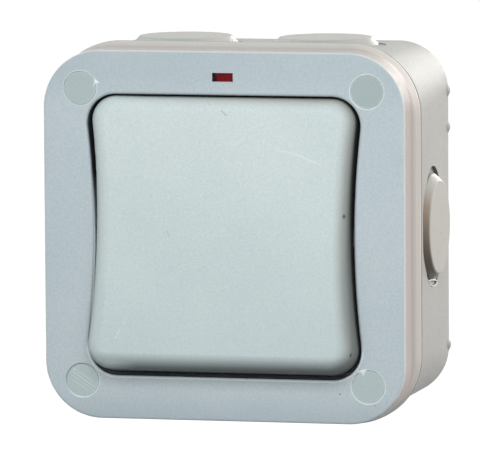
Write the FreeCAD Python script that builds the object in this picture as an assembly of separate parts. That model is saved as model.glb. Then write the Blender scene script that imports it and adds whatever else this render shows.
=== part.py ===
"""Surface-mounted weatherproof rocker switch, double pole, with an indicator window.

X runs to the right, Z up, and the switch looks along -Y from the wall plane y = 0.
The origin is the middle of the box's back. The pose is the one with the rocker's top pressed in.
"""
import FreeCAD
import Part
import math
import os
from FreeCAD import Rotation, Vector

os.makedirs("parts", exist_ok=True)

# Housing outline, in millimetres
body_depth = 54.3        # wall plane to the cover's front face
cover_depth = 11.8       # front face back to the seam
seam_gap = 0.8           # open joint in front of the gasket
bezel_width = 12.6       # from the opening's waist to the cover's edge
face_corner = 14.0       # corner radii at the front edge, the skirt, the box's rim and its back
skirt_corner = 17.0
rim_corner = 15.6
back_corner = 12.0
band_depth = 6.2         # plain band behind the front edge
band_draft = 0.15
shoulder_depth = 1.7     # sloping shoulder between the band and the skirt
shoulder_rise = 0.85
skirt_draft = 0.35
flange_depth = 1.3       # flange round the box's rim, flush with the skirt
box_step = 1.4           # the box's wall stands back from the flange
box_narrowing_width = 0.9  # the box narrows by this much, each side, towards the wall
edge_round = 0.5
box_edge_round = 1.4
rim_round = 0.35

# Walls
cover_plate = 3.0
skirt_wall = 3.0
box_wall = 3.0
back_plate = 2.5
back_recess = 0.8
back_rim = 4.0

# Rocker and its well
opening_waist = 32.1     # half width of the opening at mid height
opening_rise = 2.0       # half height over the waist's half width
opening_side_radius = 215.0
opening_corner = 7.0
lip_round = 0.8
well_wall = 1.8
floor_thickness = 2.2
rocker_gap = 0.5         # round the rocker's skirt
rocker_draft = 0.85      # the face is drawn in by this much from the skirt
rocker_proud = 5.1       # face in front of the cover, level
rocker_tilt = 6.0        # each way from level
rocker_round = 3.8
rocker_shell = 2.4
rocker_wall = 1.9
well_clearance = 0.6
ear_radius = 2.4
pin_radius = 1.9
pin_length = 2.4
running_clearance = 0.05
bearing_wall = 2.2
rib_thickness = 2.0

# Screws and caps at the cover's corners
screw_offset = 3.4       # screw lines outside the opening's waist
cap_radius = 3.95
cap_clearance = 0.08
pocket_chamfer = 0.15
cap_sink = 0.06
cap_disc = 1.5
cap_skirt = 1.2
cap_skirt_wall = 0.9
cover_screw_radius = 2.0
cover_screw_head_radius = 3.5
cover_screw_head_height = 2.6
cover_screw_bite = 14.0
screw_seat_depth = 6.2
tube_wall = 2.0
boss_radius = 4.6
thread_clearance = 0.02
screw_tip_clearance = 1.0
hole_clearance = 0.25
slot_width = 1.0
slot_depth = 1.2

# Gasket in the seam
gasket_inset = 1.0
gasket_width = 1.2
gasket_groove = 1.2

# Indicator
window_width = 5.15
window_height = 2.1
window_rise = 4.4        # from the opening's top to the window's middle
lens_clearance = 0.05
lens_sink = 0.7
lens_flange = 1.0
lens_flange_thickness = 1.2
lamp_radius = 2.0
lamp_length = 9.0
lamp_clearance = 0.05
cradle_thickness = 1.2
cradle_spacing = 2.6

# Conduit entries and their plugs
entry_radius = 10.2
entry_height = 21.0      # entry centres above the wall plane
top_entry_offset = 17.6
plug_head_radius = 12.9
plug_face_radius = 11.3
plug_head_height = 2.8
plug_round = 0.5
plug_shank_clearance = 0.2
plug_shank_length = 7.0
plug_shank_wall = 1.6
plug_bead = 0.45
plug_bead_length = 1.4
plug_bead_chamfer = 0.4
plug_bead_gap = 0.5
seat_clearance = 0.25
pry_radius = 10.0
pry_reach = 14.8
seat_drop = 1.0          # plug seats and pry notches lie this far under the wall's surface

# Wall fixing
fixing_pitch_half = 25.0
fixing_radius = 3.0
fixing_collar = 2.6
fixing_collar_height = 2.0
nib_radius = 2.0
nib_proud = 0.65
nib_inset = 2.0          # pip centres from the wall plane
nib_heights = (31.6, 22.6, -31.2)

# Rubber seal under the rocker
seal_half_x = 12.6
seal_half_z = 12.4
seal_thickness = 1.0
seal_flange = 3.0
seal_flange_thickness = 1.2
seal_clearance = 0.13
aperture_clearance = 0.8
rib_extra_length = 0.7   # rib ends lie this far behind the rocker's axis
rib_offset = 9.0
rib_half_width = 10.0

# Switch unit behind the cover
unit_half_x = 24.0
unit_half_z = 21.0
unit_wall = 2.0
frame_depth = 7.0
base_depth = 16.7
unit_screw_inset = 3.5
unit_screw_radius = 1.5
unit_screw_head_radius = 2.7
unit_screw_head_height = 1.8
unit_boss_radius = 3.0
unit_boss_length = 4.8
boss_clearance = 0.15
lug_thickness = 3.0
corner_notch = 7.2
barrier_thickness = 1.2

# Dolly, plungers and springs
dolly_axis_depth = 3.0   # behind the unit's front face
dolly_half_x = 11.0
dolly_half_z = 10.5
dolly_nose = 3.6
dolly_hub_radius = 4.0
dolly_pin_radius = 1.5
dolly_pin_length = 2.6
dolly_gap = 0.5
dolly_bearing_length = 3.2
barrel_radius = 3.4
barrel_reach = 8.3
pole_offset = 6.5
plunger_radius = 2.05
plunger_clearance = 0.1
plunger_reach = 12.75
plunger_length = 10.0
spring_wire = 0.35
spring_turns = 5
spring_clearance = 0.1

# Contact arms
arm_axis_reach = 15.4    # from the dolly's axis
arm_tilt = 7.0
arm_half_length = 10.5
arm_width = 5.0
arm_thickness = 1.2
arm_height = 2.4         # top surface above the pivot bar's middle
pivot_radius = 1.2
saddle_half = 2.4
tip_radius = 2.0
tip_height = 0.8
tip_offset = 8.4
contact_clearance = 0.3

# Terminals
strip_thickness = 1.2
strip_width = 6.0
upright_thickness = 0.8
upright_gap = 0.4
upright_half = 2.4
terminal_width = 8.0
terminal_depth = 7.4
terminal_length = 6.4
wire_radius = 1.9
clamp_screw_radius = 1.6
clamp_screw_proud = 0.8
wire_entry_clearance = 0.6
stop_length = 2.0

# Earth terminal in the back box
earth_inset = 12.7       # from the box's lower edge to the terminal's middle
earth_post_height = 5.5

# Levels along Y, from the front to the wall
front_y = -body_depth
seam_y = front_y + cover_depth
rim_y = seam_y + seam_gap
floor_y = seam_y - floor_thickness
plate_y = front_y + cover_plate
rocker_axis_y = floor_y - ear_radius - well_clearance
rocker_face_y = front_y - rocker_proud
rib_y = rocker_axis_y + rib_extra_length
unit_y = seam_y + seal_flange_thickness
split_y = unit_y + frame_depth
unit_rear_y = split_y + base_depth
base_floor_y = unit_rear_y - unit_wall
strip_y = base_floor_y - strip_thickness
dolly_axis_y = unit_y + dolly_axis_depth
arm_axis_y = dolly_axis_y + arm_axis_reach

# Widths that follow
face_half = opening_waist + bezel_width
opening_half_height = opening_waist + opening_rise
window_z = opening_half_height + window_rise
screw_pitch_half = opening_waist + screw_offset
shoulder_half = face_half + band_draft + shoulder_rise
skirt_half = shoulder_half + skirt_draft
box_rim_half = skirt_half - box_step
box_back_half = box_rim_half - box_narrowing_width
rocker_waist = opening_waist - rocker_gap
rocker_half_height = opening_half_height - rocker_gap
rocker_swing = rocker_half_height * math.sin(math.radians(rocker_tilt))
rocker_skirt_y = floor_y - well_clearance - rocker_swing
entry_wall_half = box_back_half + box_narrowing_width * entry_height / -rim_y
seat_half = entry_wall_half - seat_drop
plug_shank_radius = entry_radius - plug_shank_clearance
bore_radius = plunger_radius + plunger_clearance
unit_screw_x = unit_half_x - unit_screw_inset
unit_screw_z = unit_half_z - unit_screw_inset
earth_z = earth_inset - box_back_half
bearing_start = dolly_half_x + dolly_gap * 2
spring_height = plunger_length - dolly_hub_radius
bore_end_y = dolly_axis_y + plunger_reach - plunger_length - spring_height
unit_screw_tip_y = floor_y + 2 * screw_tip_clearance
lamp_axis_y = plate_y + lens_flange_thickness + lamp_clearance + lamp_radius
terminal_z = unit_half_z - unit_wall - terminal_length / 2
terminal_front_y = base_floor_y - terminal_depth
terminal_wire_y = terminal_front_y + terminal_depth / 2

screw_places = [
    ("top_left", -screw_pitch_half, screw_pitch_half),
    ("top_right", screw_pitch_half, screw_pitch_half),
    ("bottom_left", -screw_pitch_half, -screw_pitch_half),
    ("bottom_right", screw_pitch_half, -screw_pitch_half),
]
unit_screw_places = [
    (side * unit_screw_x, level * unit_screw_z) for side in (-1, 1) for level in (-1, 1)
]
plug_sites = {
    "plug_top_left": (Vector(-top_entry_offset, -entry_height, seat_half), Vector(0, 0, 1)),
    "plug_top_right": (Vector(top_entry_offset, -entry_height, seat_half), Vector(0, 0, 1)),
    "plug_left": (Vector(-seat_half, -entry_height, 0), Vector(-1, 0, 0)),
    "plug_right": (Vector(seat_half, -entry_height, 0), Vector(1, 0, 0)),
    "plug_bottom_left": (Vector(-top_entry_offset, -entry_height, -seat_half), Vector(0, 0, -1)),
    "plug_bottom_right": (Vector(top_entry_offset, -entry_height, -seat_half), Vector(0, 0, -1)),
}
poles = {"live": pole_offset, "neutral": -pole_offset}

level_tolerance = 0.001
overcut = 1.0


def block(x_range, y_range, z_range):
    """Box between the given limits."""
    (x0, x1), (y0, y1), (z0, z1) = x_range, y_range, z_range
    return Part.makeBox(x1 - x0, y1 - y0, z1 - z0, Vector(x0, y0, z0))


def rod(radius, start, end):
    """Cylinder between two points."""
    axis = end - start
    return Part.makeCylinder(radius, axis.Length, start, axis)


def rod_x(radius, x_range, y, z=0.0):
    return rod(radius, Vector(x_range[0], y, z), Vector(x_range[1], y, z))


def rod_y(radius, x, y_range, z):
    return rod(radius, Vector(x, y_range[0], z), Vector(x, y_range[1], z))


def rod_z(radius, x, y, z_range):
    return rod(radius, Vector(x, y, z_range[0]), Vector(x, y, z_range[1]))


def prism(wire, y_end):
    """Solid from an outline that lies across Y, drawn out to y_end."""
    return Part.Face(wire).extrude(Vector(0, y_end - wire.BoundBox.YMin, 0))


def rounded_square(half, corner, y):
    """Square with rounded corners, across Y."""
    centre = half - corner
    diagonal = centre + corner * math.sqrt(0.5)
    places = [(-centre, half), (centre, half), (diagonal, diagonal), (half, centre)]
    edges = []
    for quarter in range(4):
        turn = Rotation(Vector(0, 1, 0), 90 * quarter)
        points = [turn.multVec(Vector(x, 0, z)) + Vector(0, y, 0) for x, z in places]
        edges.append(Part.LineSegment(points[0], points[1]).toShape())
        edges.append(Part.Arc(points[1], points[2], points[3]).toShape())
    return Part.Wire(edges)


def rectangle(half_x, half_z, y):
    """Rectangle across Y."""
    corners = [(-half_x, -half_z), (half_x, -half_z), (half_x, half_z), (-half_x, half_z)]
    points = [Vector(x, y, z) for x, z in corners]
    return Part.makePolygon(points + points[:1])


def bow_tie(waist, half_height, side_radius, corner, y):
    """Straight top and bottom, hollow arcs at the sides, rounded corners."""
    side_x = waist + side_radius
    corner_z = half_height - corner
    corner_x = side_x - math.sqrt((side_radius + corner) ** 2 - corner_z ** 2)
    share = side_radius / (side_radius + corner)
    meet = (side_x + (corner_x - side_x) * share, corner_z * share)
    bisector = math.pi / 4 - math.atan2(corner_z, side_x - corner_x) / 2
    middle = (corner_x + corner * math.cos(bisector), corner_z + corner * math.sin(bisector))

    def at(point, across, up):
        return Vector(across * point[0], y, up * point[1])

    crown = (corner_x, half_height)
    edges = []
    for up in (1, -1):
        edges.append(Part.LineSegment(at(crown, -1, up), at(crown, 1, up)).toShape())
        for across in (1, -1):
            bend = Part.Arc(at(crown, across, up), at(middle, across, up), at(meet, across, up))
            edges.append(bend.toShape())
    for across in (1, -1):
        side = Part.Arc(at(meet, across, 1), Vector(across * waist, y, 0), at(meet, across, -1))
        edges.append(side.toShape())
    return Part.Wire(Part.__sortEdges__(edges))


def opening(inset, y):
    """The well's outline, drawn in by inset (or out, where it is negative)."""
    return bow_tie(
        opening_waist - inset, opening_half_height - inset,
        opening_side_radius + inset, opening_corner - inset, y,
    )


def level_edges(shape, y, reach):
    """Edges that lie at one level along Y, no further out than reach."""
    found = []
    for edge in shape.Edges:
        bounds = edge.BoundBox
        flat = abs(bounds.YMin - y) < level_tolerance and abs(bounds.YMax - y) < level_tolerance
        if flat and max(abs(bounds.XMin), abs(bounds.XMax), bounds.ZMax) < reach:
            found.append(edge)
    return found


def tilted(shape, axis_y, degrees):
    """The shape turned about a line along X at the given level."""
    turned = shape.copy()
    turned.rotate(Vector(0, axis_y, 0), Vector(1, 0, 0), degrees)
    return turned


def slotted(screw, x, y_head, z, inward):
    """Screwdriver slot across a head whose outer face is at y_head."""
    width = cover_screw_head_radius * 2
    y_range = sorted((y_head - inward * overcut, y_head + inward * slot_depth))
    cut = block((x - width, x + width), y_range, (z - slot_width / 2, z + slot_width / 2))
    return screw.cut(cut)


def front_cover():
    sections = [
        rounded_square(face_half, face_corner, front_y),
        rounded_square(face_half + band_draft, face_corner, front_y + band_depth),
        rounded_square(shoulder_half, skirt_corner, front_y + band_depth + shoulder_depth),
        rounded_square(skirt_half, skirt_corner, seam_y),
    ]
    outer = Part.makeLoft(sections, True, True)
    outer = outer.makeFillet(edge_round, level_edges(outer, front_y, skirt_half))

    solid_inside = [prism(opening(-well_wall, plate_y), seam_y)]
    pocket_radius = cap_radius + cap_clearance
    for _, x, z in screw_places:
        solid_inside.append(rod_y(pocket_radius + tube_wall, x, (plate_y, seam_y), z))
    bearing_end = opening_waist + pin_length + bearing_wall
    for side in (-1, 1):
        x_range = (side * opening_waist, side * bearing_end)
        solid_inside.append(rod_x(pin_radius + well_wall, x_range, rocker_axis_y))
        cradle_x = side * cradle_spacing
        solid_inside.append(block(
            (cradle_x - cradle_thickness / 2, cradle_x + cradle_thickness / 2),
            (plate_y, plate_y + lens_flange_thickness + 2 * lamp_radius),
            (opening_half_height, face_half - skirt_wall),
        ))
    hollow = prism(rounded_square(face_half - skirt_wall, face_corner, plate_y), seam_y)
    cover = outer.cut(hollow.cut(solid_inside))

    cover = cover.cut(prism(opening(0, front_y), floor_y))
    cover = cover.makeFillet(lip_round, level_edges(cover, front_y, opening_half_height + overcut))

    cuts = [prism(rectangle(
        seal_half_x + seal_thickness + aperture_clearance,
        seal_half_z + seal_thickness + aperture_clearance, floor_y - overcut,
    ), seam_y + overcut)]
    for side in (-1, 1):
        pin_end = side * (rocker_waist + pin_length + running_clearance * 2)
        cuts.append(rod_x(pin_radius + running_clearance, (side * rocker_waist, pin_end), rocker_axis_y))
    for _, x, z in screw_places:
        cuts.append(rod_y(pocket_radius, x, (front_y - overcut, front_y + screw_seat_depth), z))
        mouth = Vector(x, front_y, z)
        cuts.append(Part.makeCone(
            pocket_radius + pocket_chamfer, pocket_radius, pocket_chamfer, mouth, Vector(0, 1, 0),
        ))
        cuts.append(rod_y(cover_screw_radius + hole_clearance, x, (front_y, seam_y + overcut), z))
    cuts.append(block(
        (-window_width / 2, window_width / 2), (front_y - overcut, plate_y + overcut),
        (window_z - window_height / 2, window_z + window_height / 2),
    ))
    cuts.append(lens_flange_block(lens_clearance))
    lamp_reach = lamp_length / 2 + overcut
    cuts.append(rod_x(lamp_radius + lamp_clearance, (-lamp_reach, lamp_reach), lamp_axis_y, window_z))
    cover = cover.cut(cuts)

    for x, z in unit_screw_places:
        boss_end = seam_y + unit_boss_length
        boss = rod_y(unit_boss_radius, x, (floor_y, boss_end), z)
        pilot_start = unit_screw_tip_y - screw_tip_clearance
        pilot = rod_y(unit_screw_radius + thread_clearance, x, (pilot_start, boss_end + overcut), z)
        cover = cover.fuse(boss).cut(pilot)
    return cover.removeSplitter()


def lens_flange_block(extra):
    reach_x = window_width / 2 + lens_flange + extra
    reach_z = window_height / 2 + lens_flange + extra
    return block(
        (-reach_x, reach_x), (plate_y, plate_y + lens_flange_thickness + extra),
        (window_z - reach_z, window_z + reach_z),
    )


def indicator_lens():
    half_x = window_width / 2 - lens_clearance
    half_z = window_height / 2 - lens_clearance
    nose = block(
        (-half_x, half_x), (front_y + lens_sink, plate_y + lens_flange_thickness),
        (window_z - half_z, window_z + half_z),
    )
    return nose.fuse(lens_flange_block(0)).removeSplitter()


def indicator_lamp():
    half = lamp_length / 2
    glass = rod_x(lamp_radius, (-half, half), lamp_axis_y, window_z)
    return glass.makeFillet(lamp_radius / 2, glass.Edges)


def screw_cap(x, z):
    disc_y = front_y + cap_sink
    cap = rod_y(cap_radius, x, (disc_y, disc_y + cap_disc + cap_skirt), z)
    under_y = disc_y + cap_disc
    hollow = rod_y(cap_radius - cap_skirt_wall, x, (under_y, under_y + cap_skirt + overcut), z)
    return cap.cut(hollow)


def cover_screw(x, z):
    seat_y = front_y + screw_seat_depth
    head = rod_y(cover_screw_head_radius, x, (seat_y - cover_screw_head_height, seat_y), z)
    shank = rod_y(cover_screw_radius, x, (seat_y, rim_y + cover_screw_bite), z)
    return slotted(head.fuse(shank).removeSplitter(), x, seat_y - cover_screw_head_height, z, 1)


def plug_notches(seat, outward):
    """Two pry notches in the wall, one at each end of a plug's head."""
    along = outward.cross(Vector(0, 1, 0))
    notches = []
    for end in (-1, 1):
        base = seat + along * (end * (pry_reach - pry_radius))
        notches.append(rod(pry_radius, base, base + outward * box_wall))
    return notches


def conduit_plug(seat, outward):
    shoulder = seat + outward * seat_drop
    crown_height = plug_head_height - seat_drop
    crown = Part.makeCone(plug_head_radius, plug_face_radius, crown_height, shoulder, outward)
    top = [
        edge for edge in crown.Edges
        if edge.Closed and (edge.CenterOfMass - shoulder).dot(outward) > crown_height / 2
    ]
    crown = crown.makeFillet(plug_round, top)
    rim = rod(plug_head_radius, seat, shoulder)
    shank = rod(plug_shank_radius, seat - outward * plug_shank_length, seat)
    bead_start = seat - outward * (box_wall + plug_bead_gap)
    bead = rod(plug_shank_radius + plug_bead, bead_start - outward * plug_bead_length, bead_start)
    bead = bead.makeChamfer(plug_bead_chamfer, [edge for edge in bead.Edges if edge.Closed])
    bore = rod(
        plug_shank_radius - plug_shank_wall, seat - outward * (plug_shank_length + overcut), seat,
    )
    return rim.fuse([crown, shank, bead]).cut(bore).removeSplitter()


def back_box():
    ends = [rounded_square(box_back_half, back_corner, 0), rounded_square(box_rim_half, rim_corner, rim_y)]
    outer = Part.makeLoft(ends, True, True)
    outer = outer.makeFillet(box_edge_round, level_edges(outer, 0, skirt_half))
    flange = prism(rounded_square(skirt_half, skirt_corner, rim_y), rim_y + flange_depth)
    flange = flange.makeFillet(rim_round, level_edges(flange, rim_y, skirt_half + overcut))
    outer = outer.fuse(flange)
    hollow = Part.makeLoft([
        rounded_square(box_back_half - box_wall, back_corner - box_wall, -back_plate),
        rounded_square(box_rim_half - box_wall, rim_corner - box_wall, rim_y),
    ], True, True)
    solid_inside = [rod_y(boss_radius, x, (-back_plate, rim_y), z) for _, x, z in screw_places]
    fixings = [(x * fixing_pitch_half, z * fixing_pitch_half) for x in (-1, 1) for z in (-1, 1)]
    collar_radius = fixing_radius + fixing_collar
    for x, z in fixings:
        solid_inside.append(rod_y(collar_radius, x, (-back_plate, -back_plate - fixing_collar_height), z))
    half = terminal_width / 2
    solid_inside.append(block(
        (-half, half), (-back_plate - earth_post_height, -back_plate), (earth_z - half, earth_z + half),
    ))
    box = outer.cut(hollow.cut(solid_inside))

    for side in (-1, 1):
        for z in nib_heights:
            x = side * (box_back_half + nib_proud - nib_radius)
            nib = Part.makeSphere(nib_radius, Vector(x, -nib_inset, z))
            box = box.fuse(nib)

    recess = prism(rounded_square(box_back_half - back_rim, back_corner, 0), -back_recess)
    pads = [rod_y(collar_radius, x, (0, -back_recess), z) for x, z in fixings]
    cuts = [gasket_ring(rim_y), recess.cut(pads)]
    for x, z in fixings:
        cuts.append(rod_y(fixing_radius, x, (overcut, -back_plate - fixing_collar_height - overcut), z))
    for _, x, z in screw_places:
        end_y = rim_y + cover_screw_bite + screw_tip_clearance
        cuts.append(rod_y(cover_screw_radius + thread_clearance, x, (rim_y - overcut, end_y), z))
    for seat, outward in plug_sites.values():
        cuts.append(rod(entry_radius, seat - outward * 2 * box_wall, seat + outward * box_wall))
        cuts.append(rod(plug_head_radius + seat_clearance, seat, seat + outward * box_wall))
        cuts += plug_notches(seat, outward)
    return box.cut(cuts).removeSplitter()


def gasket_ring(start_y):
    """Ring from start_y down to the bottom of the gasket's groove."""
    end_y = rim_y + gasket_groove
    half = box_rim_half - gasket_inset
    corner = rim_corner - gasket_inset
    ring = prism(rounded_square(half, corner, start_y), end_y)
    inside = rounded_square(half - gasket_width, corner - gasket_width, start_y)
    return ring.cut(prism(inside, end_y))


def rocker():
    ends = [opening(rocker_gap + rocker_draft, rocker_face_y), opening(rocker_gap, rocker_skirt_y)]
    outer = Part.makeLoft(ends, True, True)
    outer = outer.makeFillet(rocker_round, level_edges(outer, rocker_face_y, skirt_half))
    shell_y = rocker_face_y + rocker_shell
    inside = rocker_gap + rocker_wall
    hollow = Part.makeLoft([
        opening(inside + rocker_draft, shell_y), opening(inside, rocker_skirt_y),
    ], True, True)
    shell = outer.cut(hollow)
    inner_waist = rocker_waist - rocker_wall
    pieces = []
    for side in (-1, 1):
        ear_x = sorted((side * inner_waist, side * rocker_waist))
        ear_y = (rocker_skirt_y - ear_radius, rocker_axis_y)
        pieces.append(block(ear_x, ear_y, (-ear_radius, ear_radius)))
        pieces.append(rod_x(ear_radius, ear_x, rocker_axis_y))
        pin_x = (side * inner_waist, side * (rocker_waist + pin_length))
        pieces.append(rod_x(pin_radius, pin_x, rocker_axis_y))
        rib_z = side * rib_offset
        pieces.append(block(
            (-rib_half_width, rib_half_width), (shell_y, rib_y),
            (rib_z - rib_thickness / 2, rib_z + rib_thickness / 2),
        ))
        web_x = side * (rib_half_width - rib_thickness / 2)
        pieces.append(block(
            (web_x - rib_thickness / 2, web_x + rib_thickness / 2), (shell_y, rocker_skirt_y),
            (-rib_offset, rib_offset),
        ))
    whole = shell.fuse(pieces).removeSplitter()
    return tilted(whole, rocker_axis_y, -rocker_tilt)


def rocker_seal():
    """Flange under the well's floor and a cap that leans with the rocker's ribs."""
    cap_outer_y = rib_y + seal_clearance
    cap_inner_y = cap_outer_y + seal_thickness
    outer_x = seal_half_x + seal_thickness
    outer_z = seal_half_z + seal_thickness

    def leaning(half_x, half_z, y):
        return tilted(rectangle(half_x, half_z, y), rocker_axis_y, -rocker_tilt)

    outer_ends = [rectangle(outer_x, outer_z, unit_y), leaning(outer_x, outer_z, cap_outer_y)]
    inner_ends = [
        rectangle(seal_half_x, seal_half_z, unit_y), leaning(seal_half_x, seal_half_z, cap_inner_y),
    ]
    outer = Part.makeLoft(outer_ends, True, True)
    inner = Part.makeLoft(inner_ends, True, True)
    flange = prism(rectangle(outer_x + seal_flange, outer_z + seal_flange, seam_y), unit_y)
    return outer.fuse(flange).cut(inner).removeSplitter()


def unit_corner(x, z, y_range, size):
    """Square post in a corner of the switch unit."""
    side_x = math.copysign(1, x)
    side_z = math.copysign(1, z)
    x_range = sorted((side_x * unit_half_x, side_x * (unit_half_x - size)))
    z_range = sorted((side_z * unit_half_z, side_z * (unit_half_z - size)))
    return block(x_range, y_range, z_range)


def switch_frame():
    outer = prism(rectangle(unit_half_x, unit_half_z, unit_y), split_y)
    inside = rectangle(unit_half_x - unit_wall, unit_half_z - unit_wall, unit_y + unit_wall)
    hollow = prism(inside, split_y)
    solid_inside = [unit_corner(x, z, (unit_y, split_y), corner_notch) for x, z in unit_screw_places]
    bearing_end = bearing_start + dolly_bearing_length
    bearing_half = dolly_hub_radius + unit_wall
    for side in (-1, 1):
        x_range = sorted((side * bearing_start, side * bearing_end))
        solid_inside.append(block(x_range, (unit_y, split_y), (-bearing_half, bearing_half)))
    frame = outer.cut(hollow.cut(solid_inside))
    window = rectangle(bearing_start, seal_half_z - dolly_gap, unit_y - overcut)
    cuts = [prism(window, unit_y + unit_wall)]
    pin_reach = bearing_end + overcut
    cuts.append(rod_x(dolly_pin_radius + running_clearance, (-pin_reach, pin_reach), dolly_axis_y))
    for x, z in unit_screw_places:
        boss_end = seam_y + unit_boss_length + boss_clearance
        cuts.append(rod_y(unit_boss_radius + boss_clearance, x, (unit_y - overcut, boss_end), z))
        cuts.append(rod_y(unit_screw_radius + hole_clearance, x, (unit_y, split_y + overcut), z))
    return frame.cut(cuts).removeSplitter()


def switch_base():
    outer = prism(rectangle(unit_half_x, unit_half_z, split_y), unit_rear_y)
    hollow = prism(rectangle(unit_half_x - unit_wall, unit_half_z - unit_wall, split_y), base_floor_y)
    notches = [
        unit_corner(x, z, (split_y + lug_thickness, unit_rear_y + overcut), corner_notch)
        for x, z in unit_screw_places
    ]
    posts = [
        unit_corner(x, z, (split_y, base_floor_y), corner_notch + unit_wall) for x, z in unit_screw_places
    ]
    barrier = block(
        (-barrier_thickness / 2, barrier_thickness / 2), (arm_axis_y - arm_height, base_floor_y),
        (-unit_half_z, unit_half_z),
    )
    base = outer.cut(hollow.cut(posts + [barrier])).cut(notches)
    cuts = []
    for x, z in unit_screw_places:
        cuts.append(rod_y(unit_screw_radius + hole_clearance, x, (split_y - overcut, unit_rear_y), z))
    for x in poles.values():
        for side in (-1, 1):
            z_range = (side * (unit_half_z - unit_wall - overcut), side * (unit_half_z + overcut))
            cuts.append(rod_z(wire_radius + wire_entry_clearance, x, terminal_wire_y, z_range))
            y_range = (base_floor_y - overcut, unit_rear_y + overcut)
            screw_hole = clamp_screw_radius + wire_entry_clearance
            cuts.append(rod_y(screw_hole, x, y_range, side * terminal_z))
    return base.cut(cuts).removeSplitter()


def unit_screw(x, z):
    seat_y = split_y + lug_thickness
    head = rod_y(unit_screw_head_radius, x, (seat_y, seat_y + unit_screw_head_height), z)
    shank = rod_y(unit_screw_radius, x, (unit_screw_tip_y, seat_y), z)
    return slotted(head.fuse(shank).removeSplitter(), x, seat_y + unit_screw_head_height, z, -1)


def dolly():
    nose_y = rib_y + 2 * seal_clearance + seal_thickness
    x_range = (-dolly_half_x, dolly_half_x)
    nose = block(x_range, (nose_y, nose_y + dolly_nose), (-dolly_half_z, dolly_half_z))
    neck_start = nose_y + dolly_nose - overcut
    neck = block(x_range, (neck_start, dolly_axis_y), (-dolly_hub_radius, dolly_hub_radius))
    hub = rod_x(dolly_hub_radius, x_range, dolly_axis_y)
    pin_end = bearing_start + dolly_pin_length
    pins = rod_x(dolly_pin_radius, (-pin_end, pin_end), dolly_axis_y)
    barrel_y = dolly_axis_y + barrel_reach
    barrels = [rod_y(barrel_radius, x, (dolly_axis_y, barrel_y), 0) for x in poles.values()]
    bores = [rod_y(bore_radius, x, (bore_end_y, barrel_y + overcut), 0) for x in poles.values()]
    whole = nose.fuse([neck, hub, pins] + barrels).cut(bores).removeSplitter()
    return tilted(whole, dolly_axis_y, -rocker_tilt)


def plunger(x):
    tip_y = dolly_axis_y + plunger_reach
    shaft = rod_y(plunger_radius, x, (tip_y - plunger_length, tip_y - plunger_radius), 0)
    nose = Part.makeSphere(plunger_radius, Vector(x, tip_y - plunger_radius, 0))
    return tilted(shaft.fuse(nose).removeSplitter(), dolly_axis_y, -rocker_tilt)


def plunger_spring(x):
    coil_radius = plunger_radius - spring_wire - spring_clearance
    height = spring_height - 2 * spring_wire - 2 * spring_clearance
    helix = Part.makeHelix(height / spring_turns, height, coil_radius)
    section = Part.Wire(Part.makeCircle(spring_wire, Vector(coil_radius, 0, 0), Vector(0, 1, 0)))
    spring = Part.Wire(helix.Edges).makePipeShell([section], True, True)
    spring.rotate(Vector(0, 0, 0), Vector(1, 0, 0), -90)
    spring.translate(Vector(x, bore_end_y + spring_wire + spring_clearance, 0))
    return tilted(spring, dolly_axis_y, -rocker_tilt)


def contact_arm(x):
    top_y = arm_axis_y - arm_height
    half = arm_width / 2
    strip = block(
        (x - half, x + half), (top_y, top_y + arm_thickness), (-arm_half_length, arm_half_length),
    )
    saddle = block((x - half, x + half), (top_y, arm_axis_y), (-saddle_half, saddle_half))
    groove = rod_x(pivot_radius + running_clearance, (x - arm_width, x + arm_width), arm_axis_y)
    return tilted(strip.fuse(saddle).cut(groove).removeSplitter(), arm_axis_y, arm_tilt)


def moving_tip(x):
    face_y = arm_axis_y - arm_height + arm_thickness
    tip = rod_y(tip_radius, x, (face_y, face_y + tip_height), tip_offset)
    return tilted(tip, arm_axis_y, arm_tilt)


def fixed_tip(x):
    return rod_y(tip_radius, x, (fixed_tip_y(), fixed_tip_y() + tip_height), tip_offset)


def fixed_tip_y():
    """Level of the fixed tip's face: just clear of the moving tip when the arm is closed."""
    closed = math.radians(arm_tilt)
    face = -arm_height + arm_thickness + tip_height
    lowest = face * math.cos(closed) + (tip_offset + tip_radius) * math.sin(closed)
    return arm_axis_y + lowest + contact_clearance


def terminal_block(x, side):
    """Brass block with a wire bore along Z and a clamp screw hole from behind."""
    half = terminal_width / 2
    z = side * terminal_z
    z_range = (z - terminal_length / 2, z + terminal_length / 2)
    body = block((x - half, x + half), (terminal_front_y, base_floor_y), z_range)
    bore = rod_z(wire_radius, x, terminal_wire_y, (z - terminal_length, z + terminal_length))
    thread_y = (terminal_wire_y, base_floor_y + overcut)
    return body.cut(bore), rod_y(clamp_screw_radius + thread_clearance, x, thread_y, z)


def strip(x, z_range):
    half = strip_width / 2
    return block((x - half, x + half), (strip_y, base_floor_y), z_range)


def load_terminal(x):
    """Upper terminal, with the fixed contact's strip."""
    body, thread = terminal_block(x, 1)
    reach = strip(x, (tip_offset - tip_radius, terminal_z))
    seat = rod_y(tip_radius, x, (fixed_tip_y() + tip_height, strip_y + strip_thickness / 2), tip_offset)
    return body.fuse([reach, seat]).cut(thread).removeSplitter()


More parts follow.
